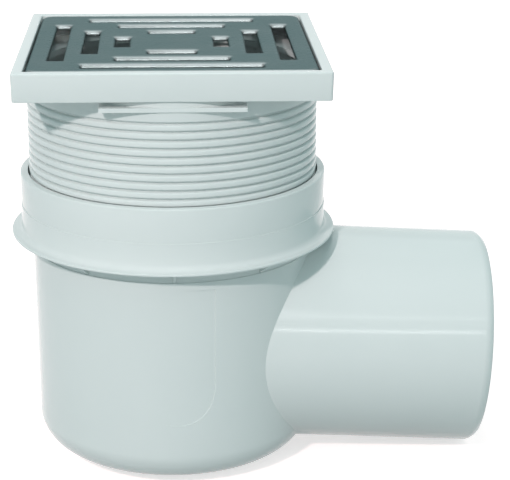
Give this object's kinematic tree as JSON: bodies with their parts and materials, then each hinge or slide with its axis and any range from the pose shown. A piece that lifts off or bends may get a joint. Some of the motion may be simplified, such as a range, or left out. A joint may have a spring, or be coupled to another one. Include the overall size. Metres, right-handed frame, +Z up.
{
  "type": "gully trap",
  "caption": "Plastic floor gully with a falling side outlet, a ringed riser that slides and turns in its collar, a square slotted steel grate and a lift-out water seal insert.",
  "frame": {"origin": "centre of the flat foot under the bowl", "axes": "+Z up along the bowl's and riser's axis, +X the way the outlet points, the square frame's sides along X and Y"},
  "size_m": [0.2413, 0.163, 0.213],
  "materials": {
    "body_plastic": "satin moulded ABS, pale grey",
    "frame_plastic": "satin moulded ABS, pale grey",
    "grate_steel": "satin stainless steel sheet",
    "riser_rubber": "black rubber",
    "trap_rubber": "black rubber",
    "funnel_plastic": "satin moulded ABS, grey",
    "cup_plastic": "satin moulded ABS, grey"
  },
  "bodies": {
    "bowl": {"body": "body_plastic", "trap_seal": "trap_rubber", "trap_funnel": "funnel_plastic", "trap_cup": "cup_plastic"},
    "seal": {"riser_seal": "riser_rubber"},
    "riser": {"top_frame": "frame_plastic", "grate": "grate_steel"}
  },
  "joints": [
    {"name": "riser_swivel", "type": "hinge", "parent": "bowl", "child": "seal", "pos_m": [0, 0, 0.1413], "axis": [0, 0, 1], "continuous": true},
    {"name": "riser_slide", "type": "slide", "parent": "seal", "child": "riser", "axis": [0, 0, 1], "range_m": [-0.005, 0.005]}
  ]
}
